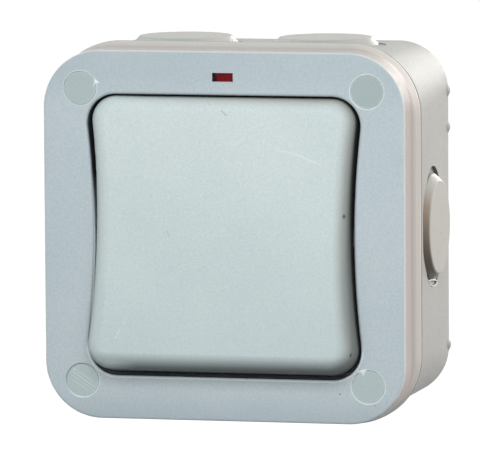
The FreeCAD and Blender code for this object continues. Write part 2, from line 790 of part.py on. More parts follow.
def feed_terminal(x):
    """Lower terminal, whose strip carries the contact arm's pivot bar and its rest."""
    body, thread = terminal_block(x, -1)
    pieces = [strip(x, (-terminal_z, saddle_half))]
    inner = arm_width / 2 + upright_gap
    for side in (-1, 1):
        x_range = sorted((x + side * inner, x + side * (inner + upright_thickness)))
        pieces.append(block(x_range, (arm_axis_y, base_floor_y), (-upright_half, upright_half)))
        pieces.append(rod_x(upright_half, x_range, arm_axis_y))
    outer = inner + upright_thickness
    pieces.append(rod_x(pivot_radius, (x - outer, x + outer), arm_axis_y))
    open_angle = math.radians(arm_tilt)
    under = (arm_thickness - arm_height) * math.cos(open_angle) + arm_half_length * math.sin(open_angle)
    stop_z = -arm_half_length
    pieces.append(block(
        (x - pivot_radius, x + pivot_radius), (arm_axis_y + under + contact_clearance, base_floor_y),
        (stop_z, stop_z + stop_length),
    ))
    return body.fuse(pieces).cut(thread).removeSplitter()


def clamp_screw(x, z):
    start_y = terminal_wire_y + wire_radius
    end_y = base_floor_y + clamp_screw_proud
    return slotted(rod_y(clamp_screw_radius, x, (start_y, end_y), z), x, end_y, z, -1)


def earth_terminal():
    half = terminal_width / 2
    base_y = -back_plate - earth_post_height
    body = block((-half, half), (base_y - terminal_depth, base_y), (earth_z - half, earth_z + half))
    bore_y = base_y - terminal_depth / 2
    bore = rod_x(wire_radius, (-terminal_width, terminal_width), bore_y, earth_z)
    thread_y = (base_y - terminal_depth - overcut, bore_y)
    thread = rod_y(clamp_screw_radius + thread_clearance, 0, thread_y, earth_z)
    return body.cut([bore, thread])


def earth_screw():
    face_y = -back_plate - earth_post_height - terminal_depth
    start_y = face_y - clamp_screw_proud
    end_y = face_y + terminal_depth / 2 - wire_radius
    return slotted(rod_y(clamp_screw_radius, 0, (start_y, end_y), earth_z), 0, start_y, earth_z, 1)


nodes = {
    "back_box": back_box(),
    "box_gasket": gasket_ring(seam_y),
    "front_cover": front_cover(),
    "cover_screws": Part.makeCompound([cover_screw(x, z) for _, x, z in screw_places]),
    "indicator_lens": indicator_lens(),
    "indicator_lamp": indicator_lamp(),
    "rocker": rocker(),
    "rocker_seal": rocker_seal(),
    "switch_frame": switch_frame(),
    "switch_base": switch_base(),
    "unit_screws": Part.makeCompound([unit_screw(x, z) for x, z in unit_screw_places]),
    "dolly": dolly(),
    "earth_terminal": earth_terminal(),
    "earth_screw": earth_screw(),
}
for place, x, z in screw_places:
    nodes["screw_cap_" + place] = screw_cap(x, z)
for name, (seat, outward) in plug_sites.items():
    nodes[name] = conduit_plug(seat, outward)
for pole, x in poles.items():
    nodes["plunger_" + pole] = plunger(x)
    nodes["plunger_spring_" + pole] = plunger_spring(x)
    nodes["contact_arm_" + pole] = contact_arm(x)
    nodes["moving_tip_" + pole] = moving_tip(x)
    nodes["fixed_tip_" + pole] = fixed_tip(x)
    nodes["load_terminal_" + pole] = load_terminal(x)
    nodes["feed_terminal_" + pole] = feed_terminal(x)
clamp_places = [(x, side * terminal_z) for x in poles.values() for side in (-1, 1)]
nodes["clamp_screws"] = Part.makeCompound([clamp_screw(x, z) for x, z in clamp_places])

for name, shape in nodes.items():
    shape.exportStep("parts/" + name + ".step")
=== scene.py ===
"""Looks of the weatherproof switch: materials with painted light and shade, moulding marks, rubber boot,
light and the photo's camera.
"""
import math

import bpy
from mathutils import Matrix, Vector


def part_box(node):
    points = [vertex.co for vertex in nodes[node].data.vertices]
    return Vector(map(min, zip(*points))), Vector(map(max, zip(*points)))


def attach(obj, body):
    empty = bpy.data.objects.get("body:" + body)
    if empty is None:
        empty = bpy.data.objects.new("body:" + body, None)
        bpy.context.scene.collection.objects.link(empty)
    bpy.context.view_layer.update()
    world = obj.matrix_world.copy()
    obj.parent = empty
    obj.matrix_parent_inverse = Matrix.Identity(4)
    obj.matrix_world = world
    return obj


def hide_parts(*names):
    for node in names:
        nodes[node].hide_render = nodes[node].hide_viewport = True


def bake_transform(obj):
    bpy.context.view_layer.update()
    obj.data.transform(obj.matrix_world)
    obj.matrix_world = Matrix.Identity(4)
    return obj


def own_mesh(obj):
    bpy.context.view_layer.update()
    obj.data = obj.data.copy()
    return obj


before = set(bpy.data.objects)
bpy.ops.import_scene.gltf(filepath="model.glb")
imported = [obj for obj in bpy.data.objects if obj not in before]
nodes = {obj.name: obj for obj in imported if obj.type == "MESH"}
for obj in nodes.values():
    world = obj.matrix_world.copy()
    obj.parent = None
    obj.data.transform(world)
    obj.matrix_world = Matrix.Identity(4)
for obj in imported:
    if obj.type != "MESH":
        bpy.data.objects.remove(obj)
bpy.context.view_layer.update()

scene = bpy.context.scene

MM = 0.001
FRONT = Vector((0, -1, 0))
BACK = Vector((0, 1, 0))
RIGHT = Vector((1, 0, 0))
TOP = Vector((0, 0, 1))
DOWN = Vector((0, 0, -1))
MIDDLE = Vector((0, 0, 0))

# Sizes of the part that the marks and the added pieces follow
FRONT_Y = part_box("front_cover")[0][1]
COVER_DEPTH = 11.8 * MM           # from the cover's face to the seam
SEAM_Y = FRONT_Y + COVER_DEPTH
FACE_CORNER = 14.0 * MM           # corner radius of the cover's face
FACE_MARGIN = 1.0 * MM            # what lies further in than this doesn't count as the cover's outer side
CORNER_MIDDLE = (30.7 * MM, 0, 30.7 * MM)
BAND_DEPTH = 6.9 * MM             # the cover's side down to its shoulder
WELL_LEFT = 25.0 * MM             # left of this the cover's inner side is the well's left wall
ROCKER_AXIS = Vector((0, -47.7 * MM, 0))
ROCKER_FACE_REACH = 11.7 * MM     # from the rocker's axis to its face
ROCKER_TILT = math.radians(-6)    # at rest
ROCKER_TURN = Matrix.Rotation(ROCKER_TILT, 3, "X")
WALL_HALF = 44.2 * MM             # the box's walls at the level of the plugs
PLUG_Y = -21.0 * MM               # middle of the conduit plugs
PLUG_FACE_RADIUS = 11.3 * MM
NOTCH_RADIUS = 10.0 * MM          # of the pry notches beside the plugs
NOTCH_OFFSET = 4.8 * MM           # from a plug's axis to a notch's
NOTCH_END = 13.6 * MM             # from a plug's axis to the middle of what a notch leaves open
WINDOW_Z = 38.5 * MM              # middle of the indicator's window
LENS_SHADE_EDGE = -1.65 * MM          # right-hand edge of the painted shade at the window's left end
LENS_SHADE_LEAN = 0.35                # sideways run of that edge for each unit of height
LENS_SHADE_BLUR = 0.15 * MM

# Colours in sRGB, 0-255
SOOT = (40, 42, 42)
PALE = (238, 243, 242)
GREY = (150, 160, 160)
# GAP_DARK is the colour of the painted shade in gaps
GAP_DARK = (6, 7, 7)


def linear(red, green, blue):
    """Linear colour of an sRGB triple given in 0-255."""
    channels = []
    for value in (red, green, blue):
        share = value / 255
        channels.append(share / 12.92 if share <= 0.04045 else ((share + 0.055) / 1.055) ** 2.4)
    return (*channels, 1.0)


class Shader:
    """A material's node tree with short calls for the nodes used here."""

    NOISE_RANGE = (0.3, 0.7)      # where most of a noise's values lie
    MARK_CORE = 0.3               # share of a mark's width that has its full strength
    OPEN_RANGE = (0.08, 0.95)     # how open a surface is, from full painted shade to none
    DARK_FALL = 1.8               # how fast the dark fades out of a gap

    def __init__(self, name):
        self.material = bpy.data.materials.new(name)
        self.material.use_nodes = True
        self.tree = self.material.node_tree
        self.surface = self.tree.nodes["Principled BSDF"]
        self.place = self.add("ShaderNodeTexCoord").outputs["Object"]
        self.colour = None

    def add(self, kind, **settings):
        node = self.tree.nodes.new(kind)
        for key, value in settings.items():
            setattr(node, key, value)
        return node

    def feed(self, node, **values):
        """Set or link inputs, by name or as i0, i1 ... by number."""
        for key, value in values.items():
            socket = node.inputs[int(key[1:])] if key[0] == "i" and key[1:].isdigit() else node.inputs[key]
            if isinstance(value, bpy.types.NodeSocket):
                self.tree.links.new(value, socket)
            else:
                socket.default_value = value

    def noise(self, scale, detail=2.0, rough=0.5, vector=None):
        node = self.add("ShaderNodeTexNoise")
        self.feed(node, Vector=vector or self.place, Scale=scale, Detail=detail, Roughness=rough)
        return node.outputs["Fac"]

    def math(self, operation, first, second=0.0):
        node = self.add("ShaderNodeMath", operation=operation)
        self.feed(node, i0=first, i1=second)
        return node.outputs[0]

    def product(self, first, *others):
        for other in others:
            first = self.math("MULTIPLY", first, other)
        return first

    def vector(self, operation, first, second, result="Vector"):
        node = self.add("ShaderNodeVectorMath", operation=operation)
        self.feed(node, i0=first, i1=second)
        return node.outputs[result]

    def length(self, vector):
        return self.vector("LENGTH", vector, (0, 0, 0), "Value")

    def axes(self, vector=None):
        """The three coordinates of a vector, or of the shaded point."""
        parts = self.add("ShaderNodeSeparateXYZ")
        self.feed(parts, Vector=vector or self.place)
        return parts.outputs

    def past(self, origin, direction):
        """Distance of the shaded point from an origin, measured along a direction."""
        offset = self.vector("SUBTRACT", self.place, tuple(origin))
        return self.vector("DOT_PRODUCT", offset, tuple(direction), "Value")

    def spread(self, value, low, high, to_low, to_high):
        node = self.add("ShaderNodeMapRange")
        self.feed(node, i0=value, i1=low, i2=high, i3=to_low, i4=to_high)
        return node.outputs[0]

    def uneven(self, noise, to_low, to_high):
        return self.spread(noise, *self.NOISE_RANGE, to_low, to_high)

    def mix(self, share, first, second):
        node = self.add("ShaderNodeMix", data_type="RGBA")
        self.feed(node, i0=share, i6=first, i7=second)
        return node.outputs[2]

    def bump(self, height, distance, strength, normal=None):
        node = self.add("ShaderNodeBump")
        self.feed(node, Height=height, Distance=distance, Strength=strength)
        if normal is not None:
            self.feed(node, Normal=normal)
        return node.outputs["Normal"]

    def set(self, **values):
        for key, value in values.items():
            self.feed(self.surface, **{key.replace("_", " "): value})

    def paint(self, colour):
        self.colour = colour
        self.set(Base_Color=colour)

    def tint(self, share, colour):
        """Blend a colour over what is painted so far."""
        self.paint(self.mix(share, self.colour, linear(*colour)))

    def mark(self, distance, width, colour, strength):
        """Blend a colour in where a distance is less than width."""
        self.tint(self.spread(distance, self.MARK_CORE * width, width, strength, 0.0), colour)

    def sink(self, depth, start, end, colour, strength, within=1.0):
        """Blend a colour in as a depth in millimetres grows from start to end."""
        share = self.spread(depth, start * MM, end * MM, 0.0, strength)
        self.tint(self.product(share, within), colour)

    def fade(self, depth, start, end):
        """A share that falls from 1 to 0 as a depth in millimetres goes from start to end."""
        return self.spread(depth, start * MM, end * MM, 1, 0)

    def rise(self, depth, start, end):
        """A share that rises from 0 to 1 as a depth in millimetres goes from start to end."""
        return self.spread(depth, start * MM, end * MM, 0, 1)

    def paint_gap_shade(self, reach, strength=0.95):
        """Painted shade where other surfaces stand close: darkens the colour in gaps and hollows."""
        near = self.add("ShaderNodeAmbientOcclusion", samples=8)
        self.feed(near, Distance=reach * MM)
        closed = self.spread(near.outputs["AO"], *self.OPEN_RANGE, 1.0, 0.0)
        self.tint(self.product(self.math("POWER", closed, self.DARK_FALL), strength), GAP_DARK)

    def speck(self, point, radius, colour=SOOT, strength=0.8):
        distance = self.vector("DISTANCE", self.place, tuple(point), "Value")
        self.mark(distance, radius * MM, colour, strength)

    def scratch(self, start, end, width, colour, strength):
        """A straight mark from one point to another."""
        span = end - start
        offset = self.vector("SUBTRACT", self.place, tuple(start))
        along = self.vector("DOT_PRODUCT", offset, tuple(span / span.length_squared), "Value")
        nearest = self.add("ShaderNodeVectorMath", operation="SCALE")
        self.feed(nearest, i0=tuple(span), Scale=self.spread(along, 0.0, 1.0, 0.0, 1.0))
        gap = self.vector("DISTANCE", offset, nearest.outputs["Vector"], "Value")
        self.mark(gap, width * MM, colour, strength)


# Makers of materials: noise scales are in turns a metre, bump heights in metres
def plastic(name, dark, light, rough=0.5, grain=0.45, fleck_scale=1900, level=0.25):
    """Moulded plastic: two close tints in slow drifts and fine flecks, spark grain, uneven gloss."""
    drift_scale, gloss_scale, grain_scale, wave_scale = 45, 900, 2800, 160
    drift_share, fleck_share = 0.35, 0.65
    smoother, rougher = rough - 0.06, rough + 0.08
    grain_height, wave_height, wave_strength = 0.00006, 0.0002, 0.1
    shader = Shader(name)
    drift = shader.uneven(shader.noise(drift_scale, detail=3), 0, drift_share)
    fleck = shader.uneven(shader.noise(fleck_scale, detail=1), 0, fleck_share)
    shader.paint(shader.mix(shader.math("ADD", drift, fleck), linear(*dark), linear(*light)))
    shader.set(Roughness=shader.uneven(shader.noise(gloss_scale), smoother, rougher))
    fine = shader.bump(shader.noise(grain_scale, detail=1), grain_height, grain)
    shader.set(Normal=shader.bump(shader.noise(wave_scale), wave_height, wave_strength, fine))
    shader.set(Specular_IOR_Level=level)
    return shader


def metal(name, dark, light, rough=0.35, stretch=(1, 1, 1)):
    """Worked metal: streaky colour and gloss."""
    streak_scale, streak_height, streak_strength = 1400, 0.00003, 0.3
    smoother, rougher = rough - 0.08, rough + 0.1
    shader = Shader(name)
    mapping = shader.add("ShaderNodeMapping")
    shader.feed(mapping, Vector=shader.place, Scale=stretch)
    streak = shader.noise(streak_scale, detail=3, rough=0.6, vector=mapping.outputs["Vector"])
    shader.paint(shader.mix(streak, linear(*dark), linear(*light)))
    shader.set(Roughness=shader.uneven(streak, smoother, rougher))
    shader.set(Normal=shader.bump(streak, streak_height, streak_strength), Metallic=1.0)
    return shader


def rubber(name, dark, light):
    """Dull rubber with a dusty bloom."""
    bloom_scale, bloom_height, bloom_strength = 420, 0.00008, 0.3
    smoother, rougher = 0.62, 0.8
    shader = Shader(name)
    bloom = shader.noise(bloom_scale, detail=4, rough=0.6)
    shader.paint(shader.mix(bloom, linear(*dark), linear(*light)))
    shader.set(Roughness=shader.uneven(bloom, smoother, rougher))
    shader.set(Normal=shader.bump(bloom, bloom_height, bloom_strength), Specular_IOR_Level=0.3)
    return shader


def red_lens(name):
    """Tinted window with painted shade: darker upwards, under its top wall, and dark at its left end, in the
    shade of its left wall.
    """
    deep_red, bright_red, upper_shade_red, left_end_shade = (100, 0, 8), (138, 0, 12), (82, 4, 16), (24, 4, 10)
    upper_start, upper_end, upper_share = WINDOW_Z - 0.2 * MM, WINDOW_Z + 1.0 * MM, 0.7
    glow_scale, glow_range, glow_height, glow_strength = 1500, (0.35, 0.7), 0.00003, 0.25
    smoother, rougher = 0.16, 0.26
    shader = Shader(name)
    glow = shader.noise(glow_scale)
    shader.paint(shader.mix(shader.spread(glow, *glow_range, 0, 1), linear(*deep_red), linear(*bright_red)))
    axes = shader.axes()
    across = shader.math("ADD", axes["X"], shader.product(axes["Z"], LENS_SHADE_LEAN))
    edge = LENS_SHADE_EDGE + LENS_SHADE_LEAN * WINDOW_Z
    # painted shade: darker upwards, and dark at the left end
    shader.tint(shader.spread(axes["Z"], upper_start, upper_end, 0, upper_share), upper_shade_red)
    shader.tint(shader.spread(across, edge - LENS_SHADE_BLUR, edge + LENS_SHADE_BLUR, 1, 0), left_end_shade)
    shader.set(Roughness=shader.uneven(glow, smoother, rougher))
    shader.set(Normal=shader.bump(glow, glow_height, glow_strength), Specular_IOR_Level=0.06)
    return shader


def lamp_glass(name):
    """Glass with a warm cast and a slight cloud."""
    warm_dark, warm_light = (228, 196, 176), (242, 220, 204)
    cloud_scale, cloud_height, cloud_strength = 500, 0.00002, 0.2
    smoother, rougher = 0.04, 0.1
    shader = Shader(name)
    cloud = shader.noise(cloud_scale)
    shader.paint(shader.mix(cloud, linear(*warm_dark), linear(*warm_light)))
    shader.set(Roughness=shader.uneven(cloud, smoother, rougher))
    shader.set(Normal=shader.bump(cloud, cloud_height, cloud_strength), Transmission_Weight=0.8)
    return shader


def cap_plastic(place, more):
    """A cap's plastic, a little lighter or darker than its neighbours'."""
    dark, light = (tuple(value + more for value in tone) for tone in ((178, 187, 187), (188, 196, 195)))
    return plastic("cap_" + place, dark, light, grain=0.25)


cover_plastic = plastic("cover_plastic", (185, 193, 198), (203, 208, 211), rough=0.48, level=0.34)
rocker_plastic = plastic("rocker_plastic", (209, 215, 214), (227, 231, 229), fleck_scale=2200, level=0.14)
box_plastic = plastic("box_plastic", (182, 184, 182), (199, 200, 197), level=0.17)
cap_shades = {"top_left": 0, "top_right": -8, "bottom_left": 5, "bottom_right": 5}
caps = {place: cap_plastic(place, more) for place, more in cap_shades.items()}
# the right-hand plug has its own copy, which carries painted shade on its rim
plug_plastic, side_plug_shaded_plastic = (
    plastic(name, (192, 192, 187), (204, 203, 198), rough=0.42, grain=0.25, level=0.2)
    for name in ("plug_plastic", "side_plug_shaded_plastic")
)
flash_and_highlight_plastic = plastic("flash_and_highlight_plastic", (244, 244, 240), (254, 254, 251))
unit_plastic = plastic("unit_plastic", (214, 210, 198), (222, 218, 206), rough=0.45)
dolly_plastic = plastic("dolly_plastic", (222, 222, 216), (230, 229, 224), rough=0.4)
gasket_rubber = rubber("gasket_rubber", (24, 24, 25), (36, 36, 36))
seal_rubber = rubber("seal_rubber", (26, 28, 30), (40, 42, 44))
brass = metal("brass", (196, 158, 78), (214, 180, 104), 0.32)
copper_alloy = metal("copper_alloy", (186, 116, 74), (206, 140, 98), 0.34, (1, 1, 0.1))
silver_contact = metal("silver_contact", (206, 206, 202), (224, 224, 220), 0.28)
steel = metal("steel", (178, 178, 174), (200, 200, 196), 0.3)
spring_steel = metal("spring_steel", (150, 150, 150), (176, 176, 174), 0.26)

finishes = {
    "back_box": box_plastic, "front_cover": cover_plastic, "rocker": rocker_plastic,
    "box_gasket": gasket_rubber, "rocker_seal": seal_rubber, "indicator_lens": red_lens("red_lens"),
    "indicator_lamp": lamp_glass("lamp_glass"), "switch_frame": unit_plastic, "switch_base": unit_plastic,
    "dolly": dolly_plastic, "earth_terminal": brass, "plug_right": side_plug_shaded_plastic,
}
finishes.update({"screw_cap_" + place: finish for place, finish in caps.items()})
by_start = {
    "plug_": plug_plastic, "plunger_spring_": spring_steel,
    "plunger_": dolly_plastic, "contact_arm_": copper_alloy, "moving_tip_": silver_contact,
    "fixed_tip_": silver_contact, "load_terminal_": brass, "feed_terminal_": brass,
    "cover_screws": steel, "unit_screws": steel, "clamp_screws": steel, "earth_screw": steel,
}
for name, piece in nodes.items():
    finish = finishes.get(name)
    if finish is None:
        finish = next(value for start, value in by_start.items() if name.startswith(start))
    piece.data.materials.clear()
    piece.data.materials.append(finish.material)


def rocker_point(across, along):
    """A point on the rocker's face at rest, in millimetres from its middle."""
    return ROCKER_TURN @ Vector((across * MM, -ROCKER_FACE_REACH, along * MM)) + ROCKER_AXIS


def cover_point(across, up):
    """A point on the cover's face, in millimetres from its middle."""
    return Vector((across * MM, FRONT_Y, up * MM))


# Painted light and shade that follow the form, and a pale lower gasket: each takes its place in millimetres
def pale_lower_gasket():
    """The seam's rubber turns pale from a little above its middle down."""
    lower_pale = (204, 198, 192)
    down = gasket_rubber.past(MIDDLE, DOWN)
    gasket_rubber.sink(down, start=-20.0, end=-6.0, colour=lower_pale, strength=0.85)


def paint_side_plug_shade():
    """Painted light on the rim of the right-hand plug: from pale through a tan painted reflection to painted
    shade, nearly black at its foot.
    """
    tan, dark = (176, 146, 122), (34, 42, 42)
    rim_start, rim_end = PLUG_FACE_RADIUS / MM - 0.1, PLUG_FACE_RADIUS / MM + 0.4
    shader = side_plug_shaded_plastic
    offset = shader.vector("SUBTRACT", shader.place, (0, PLUG_Y, 0))
    radius = shader.length(shader.vector("MULTIPLY", offset, (0, 1, 1)))
    height = shader.axes(offset)["Z"]
    # tan painted reflection high on the rim, then painted shade down to the foot
    for colour, strength, high, low in ((tan, 0.75, 10.5, 6.0), (dark, 0.95, 5.0, -12.0)):
        shader.sink(radius, rim_start, rim_end, colour, strength, shader.rise(height, high, low))


def paint_cover_light_and_shade():
    """Painted light and shade round the face: highlight lines along its edge and the skirt, warm painted
    light on the sides, painted shade at the face's top and foot and in the gaps, a painted highlight on the
    lower lip and painted light on the left wall of the well.
    """
    edge_highlight, band_warm_light = (240, 239, 236), (188, 176, 170)
    skirt_highlight, skirt_edge_highlight = (212, 207, 201), (240, 236, 230)
    foot_shade, head_shade = (150, 162, 168), (160, 172, 178)
    lip_highlight, waist_painted_light = (232, 238, 242), (246, 250, 255)
    shader = cover_plastic
    depth = shader.past((0, FRONT_Y, 0), BACK)
    flat = shader.vector("ABSOLUTE", shader.vector("MULTIPLY", shader.place, (1, 0, 1)), (0, 0, 0))
    corner = shader.vector("MAXIMUM", shader.vector("SUBTRACT", flat, CORNER_MIDDLE), (0, 0, 0))
    outside = shader.math("GREATER_THAN", shader.length(corner), FACE_CORNER - FACE_MARGIN)
    inside = shader.math("SUBTRACT", 1.0, outside)

    band_end, skirt_end = BAND_DEPTH / MM, COVER_DEPTH / MM
    # painted highlights along the face's edge and the skirt, and warm painted light on the sides
    sides = (                     # start and end of each depth, colour, strength
        (0.02, 0.1, edge_highlight, 0.75),
        (0.5, 1.0, band_warm_light, 0.75),
        (band_end, band_end + 0.6, skirt_highlight, 0.8),
        (skirt_end - 0.8, skirt_end - 0.4, skirt_edge_highlight, 0.7),
    )
    for start, end, colour, strength in sides:
        shader.sink(depth, start, end, colour, strength, outside)

    down = shader.past(MIDDLE, DOWN)
    on_face = shader.fade(depth, start=0.05, end=0.3)
    # painted shade: the face darker towards its foot and, more faintly, towards its top
    shader.sink(down, start=37.5, end=45.0, colour=foot_shade, strength=0.45)
    shader.sink(down, start=-31.0, end=-39.0, colour=head_shade, strength=0.24, within=on_face)

    # painted shade in gaps and hollows
    shader.paint_gap_shade(reach=8.0)

    # painted highlight along the lower lip of the opening
    below = shader.rise(down, start=25.0, end=28.0)
    crest = shader.fade(depth, start=0.25, end=0.6)
    lip = shader.product(below, inside, crest)
    shader.sink(depth, start=0.004, end=0.03, colour=lip_highlight, strength=0.85, within=lip)

    # painted light on the left wall of the well, beside the rocker's waist
    left_wall = shader.math("LESS_THAN", shader.axes()["X"], -WELL_LEFT)
    under_top = shader.rise(down, start=-15.0, end=1.0)
    over_foot = shader.fade(down, start=18.0, end=24.0)
    waist = shader.product(under_top, over_foot, left_wall, inside)
    shader.sink(depth, start=0.1, end=0.4, colour=waist_painted_light, strength=0.95, within=waist)


def paint_rocker_light_and_shade():
    """Painted shade and light on the rocker: the face darkens downwards to a dark foot, the bevels get a
    warm painted shade strongest on the right, and the left bevel a pale painted highlight.
    """
    bevel_warm_shade, bevel_pale_light = (180, 174, 165), (222, 232, 232)
    face_low_shade, rocker_foot_shade = (172, 184, 187), (62, 70, 73)
    warm_left, warm_right, warm_least = -20.0 * MM, 25.0 * MM, 0.1
    shader = rocker_plastic
    middle = rocker_point(0, 0)
    depth = shader.past(middle, ROCKER_TURN @ BACK)
    across = shader.past(middle, RIGHT)
    lower = shader.past(middle, ROCKER_TURN @ DOWN)
    # painted shade on the bevels, warm and strongest on the right
    warm = shader.spread(across, warm_left, warm_right, warm_least, 1.0)
    shader.sink(depth, start=0.05, end=1.4, colour=bevel_warm_shade, strength=0.7, within=warm)
    # painted shade: the face darker downwards, to a dark foot
    shader.sink(lower, start=-32.0, end=33.0, colour=face_low_shade, strength=0.34)
    shader.sink(lower, start=28.8, end=33.3, colour=rocker_foot_shade, strength=0.86)

    # painted shade in gaps and hollows
    shader.paint_gap_shade(reach=8.0)

    # painted highlight on the left bevel
    leftmost = shader.rise(across, start=-20.0, end=-26.0)
    near_face = shader.fade(depth, start=2.0, end=3.5)
    left_bevel = shader.product(leftmost, near_face)
    shader.sink(depth, start=0.05, end=0.8, colour=bevel_pale_light, strength=0.45, within=left_bevel)


pale_lower_gasket()
paint_side_plug_shade()
paint_cover_light_and_shade()
paint_rocker_light_and_shade()
# painted shade in the box's notches and gaps
box_plastic.paint_gap_shade(reach=3.0)


# Wear, placed in millimetres on the faces that carry it
rocker_scratches = (              # start, end, width, colour, strength
    ((13.6, 20.6), (19.0, 19.4), 0.3, PALE, 0.4),
    ((19.0, 19.4), (24.7, 17.0), 0.3, PALE, 0.4),
    ((-22.3, -19.9), (-23.4, -22.0), 0.24, PALE, 0.22),
    ((-24.0, -23.4), (-25.1, -25.6), 0.24, PALE, 0.4),
    ((0.2, 29.6), (1.4, 28.4), 0.2, GREY, 0.6),
    ((-12.8, 0.4), (-12.2, -0.6), 0.2, GREY, 0.4),
)
for start, end, width, colour, strength in rocker_scratches:
    rocker_plastic.scratch(rocker_point(*start), rocker_point(*end), width, colour, strength)
for place in ((30.6, -57.2, 5.8), (32.4, -59.3, -27.3)):
    rocker_plastic.speck(Vector(place) * MM, radius=0.75)
side_plug_shaded_plastic.speck(Vector((46.05, -19.7, -1.6)) * MM, radius=0.32, strength=0.6)
cover_plastic.speck(cover_point(28.6, -37.4), radius=0.28)
cover_plastic.speck(cover_point(37.2, -40.0), radius=0.4, colour=(158, 170, 172), strength=0.7)


def scratch_cap(place, reaches, first, step, way, width, colour):
    """Parallel scratches across a cap, each with its half length and strength."""
    low, high = (Vector(corner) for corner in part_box("screw_cap_" + place))
    middle = Vector(((low.x + high.x) / 2, low.y, (low.z + high.z) / 2))
    for index, (reach, strength) in enumerate(reaches):
        centre = middle + step * (first - index) * MM
        half = way * reach * MM
        caps[place].scratch(centre - half, centre + half, width, colour, strength)


scratch_cap(
    "bottom_left", ((2.4, 0.4), (3.3, 0.6), (3.0, 0.35), (2.2, 0.5)), first=1.4,
    step=Vector((0.35, 0, 0.75)), way=Vector((0.83, 0, -0.56)), width=0.22, colour=(214, 222, 220),
)


def painted_cap_ring(place, toward, colour, faint, strong):
    """A thin painted ring round a cap, in the cover and on the cap, from faint to strong on the side named:
    a pale ring is a painted highlight along the edge, a grey one painted shadow.
    """
    clearance, full_half, half = 0.15 * MM, 0.15, 0.3
    far_side, near_side = -0.4, 0.8
    low, high = (Vector(corner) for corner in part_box("screw_cap_" + place))
    radius = (high.x - low.x) / 2 + clearance
    for shader in (cover_plastic, caps[place]):
        offset = shader.vector("SUBTRACT", shader.place, tuple((low + high) / 2))
        flat = shader.vector("MULTIPLY", offset, (1, 0, 1))
        edge = shader.math("ABSOLUTE", shader.math("SUBTRACT", shader.length(flat), radius))
        outward = shader.vector("NORMALIZE", flat, (0, 0, 0))
        way = shader.vector("DOT_PRODUCT", outward, toward, "Value")
        strength = shader.spread(way, far_side, near_side, faint, strong)
        shader.tint(shader.product(shader.fade(edge, full_half, half), strength), colour)


# pale rings: painted highlights along the caps' edges; the grey ring: painted shadow on the upper left
painted_cap_ring("top_left", (0.7, 0, 0.7), PALE, faint=0.4, strong=0.85)
painted_cap_ring("top_right", (0, 0, -1), PALE, faint=0.8, strong=0.8)
painted_cap_ring("bottom_left", (0, 0, -1), PALE, faint=0.3, strong=0.85)
painted_cap_ring("bottom_left", (-0.7, 0, 0.7), GREY, faint=0.0, strong=0.6)
painted_cap_ring("bottom_right", (0.7, 0, -0.7), PALE, faint=0.5, strong=0.8)


# Moulding flash, and a white ring as a painted highlight
def mesh_piece(name, points, faces, finish, smooth):
    mesh = bpy.data.meshes.new(name)
    mesh.from_pydata([tuple(point) for point in points], [], faces)
    mesh.update()
    mesh.materials.append(finish.material)
    for polygon in mesh.polygons:
        polygon.use_smooth = smooth
    piece = bpy.data.objects.new(name, mesh)
    scene.collection.objects.link(piece)
    return piece


def housing_piece(name, points, faces, finish, smooth=False):
    """A small mesh that belongs to the housing."""
    piece = mesh_piece(name, points, faces, finish, smooth)
    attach(piece, "housing")


def burr(name, middle, outward, outline, rise):
    """A torn bit of moulding flash: a ragged outline with a raised crest."""
    root = 0.15 * MM
    across = RIGHT if abs(outward.x) < 0.5 else BACK
    along = outward.cross(across)
    base = [middle + (across * a + along * b) * MM for a, b in outline]
    sunk = [point - outward * root for point in base]
    crest = middle + outward * rise * MM
    count = len(base)
    faces = [tuple(reversed(range(count)))]
    for index in range(count):
        after = (index + 1) % count
        faces.append((index, after, count + after, count + index))
        faces.append((count + index, count + after, 2 * count))
    housing_piece(name, sunk + base + [crest], faces, flash_and_highlight_plastic)


def plug_middle(node):
    """Where a top plug's axis meets the box's upper wall."""
    low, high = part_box(node)
    return Vector(((low[0] + high[0]) / 2, PLUG_Y, WALL_HALF))


burr("burr_cap_top_left", cover_point(-31.5, 36.9), FRONT,
     ((-0.65, -1.1), (0.25, -0.3), (1.1, -0.15), (0.4, 0.25), (-0.15, 0.95), (-0.45, 0.15)), rise=0.35)
burr("burr_cap_bottom_right", cover_point(34.1, -31.8), FRONT,
     ((-1.2, -0.1), (-0.3, -0.5), (0.4, -0.95), (0.8, 0.0), (1.3, 0.45), (0.0, 0.4)), rise=0.35)
burr("burr_cap_top_right", cover_point(34.7, 39.5), FRONT,
     ((-0.3, -0.1), (0.1, -0.2), (0.3, 0.1), (0.0, 0.3)), rise=0.2)
burr("burr_cap_bottom_left", cover_point(-37.6, -33.0), FRONT,
     ((-0.35, -0.1), (0.2, -0.15), (0.3, 0.2)), rise=0.2)
NOTCH_BURR_SINK = 0.7 * MM        # how deep in a notch its burr starts
for side, way, size in (("left", -1, 0.9), ("right", 1, 1.3)):
    notch = plug_middle("plug_top_left") + RIGHT * way * NOTCH_END - TOP * NOTCH_BURR_SINK
    burr("burr_plug_top_left_" + side, notch, TOP,
         ((-size, -0.8), (size, -0.6), (size * 0.7, 0.7), (-size * 0.6, 0.5)), rise=1.1)


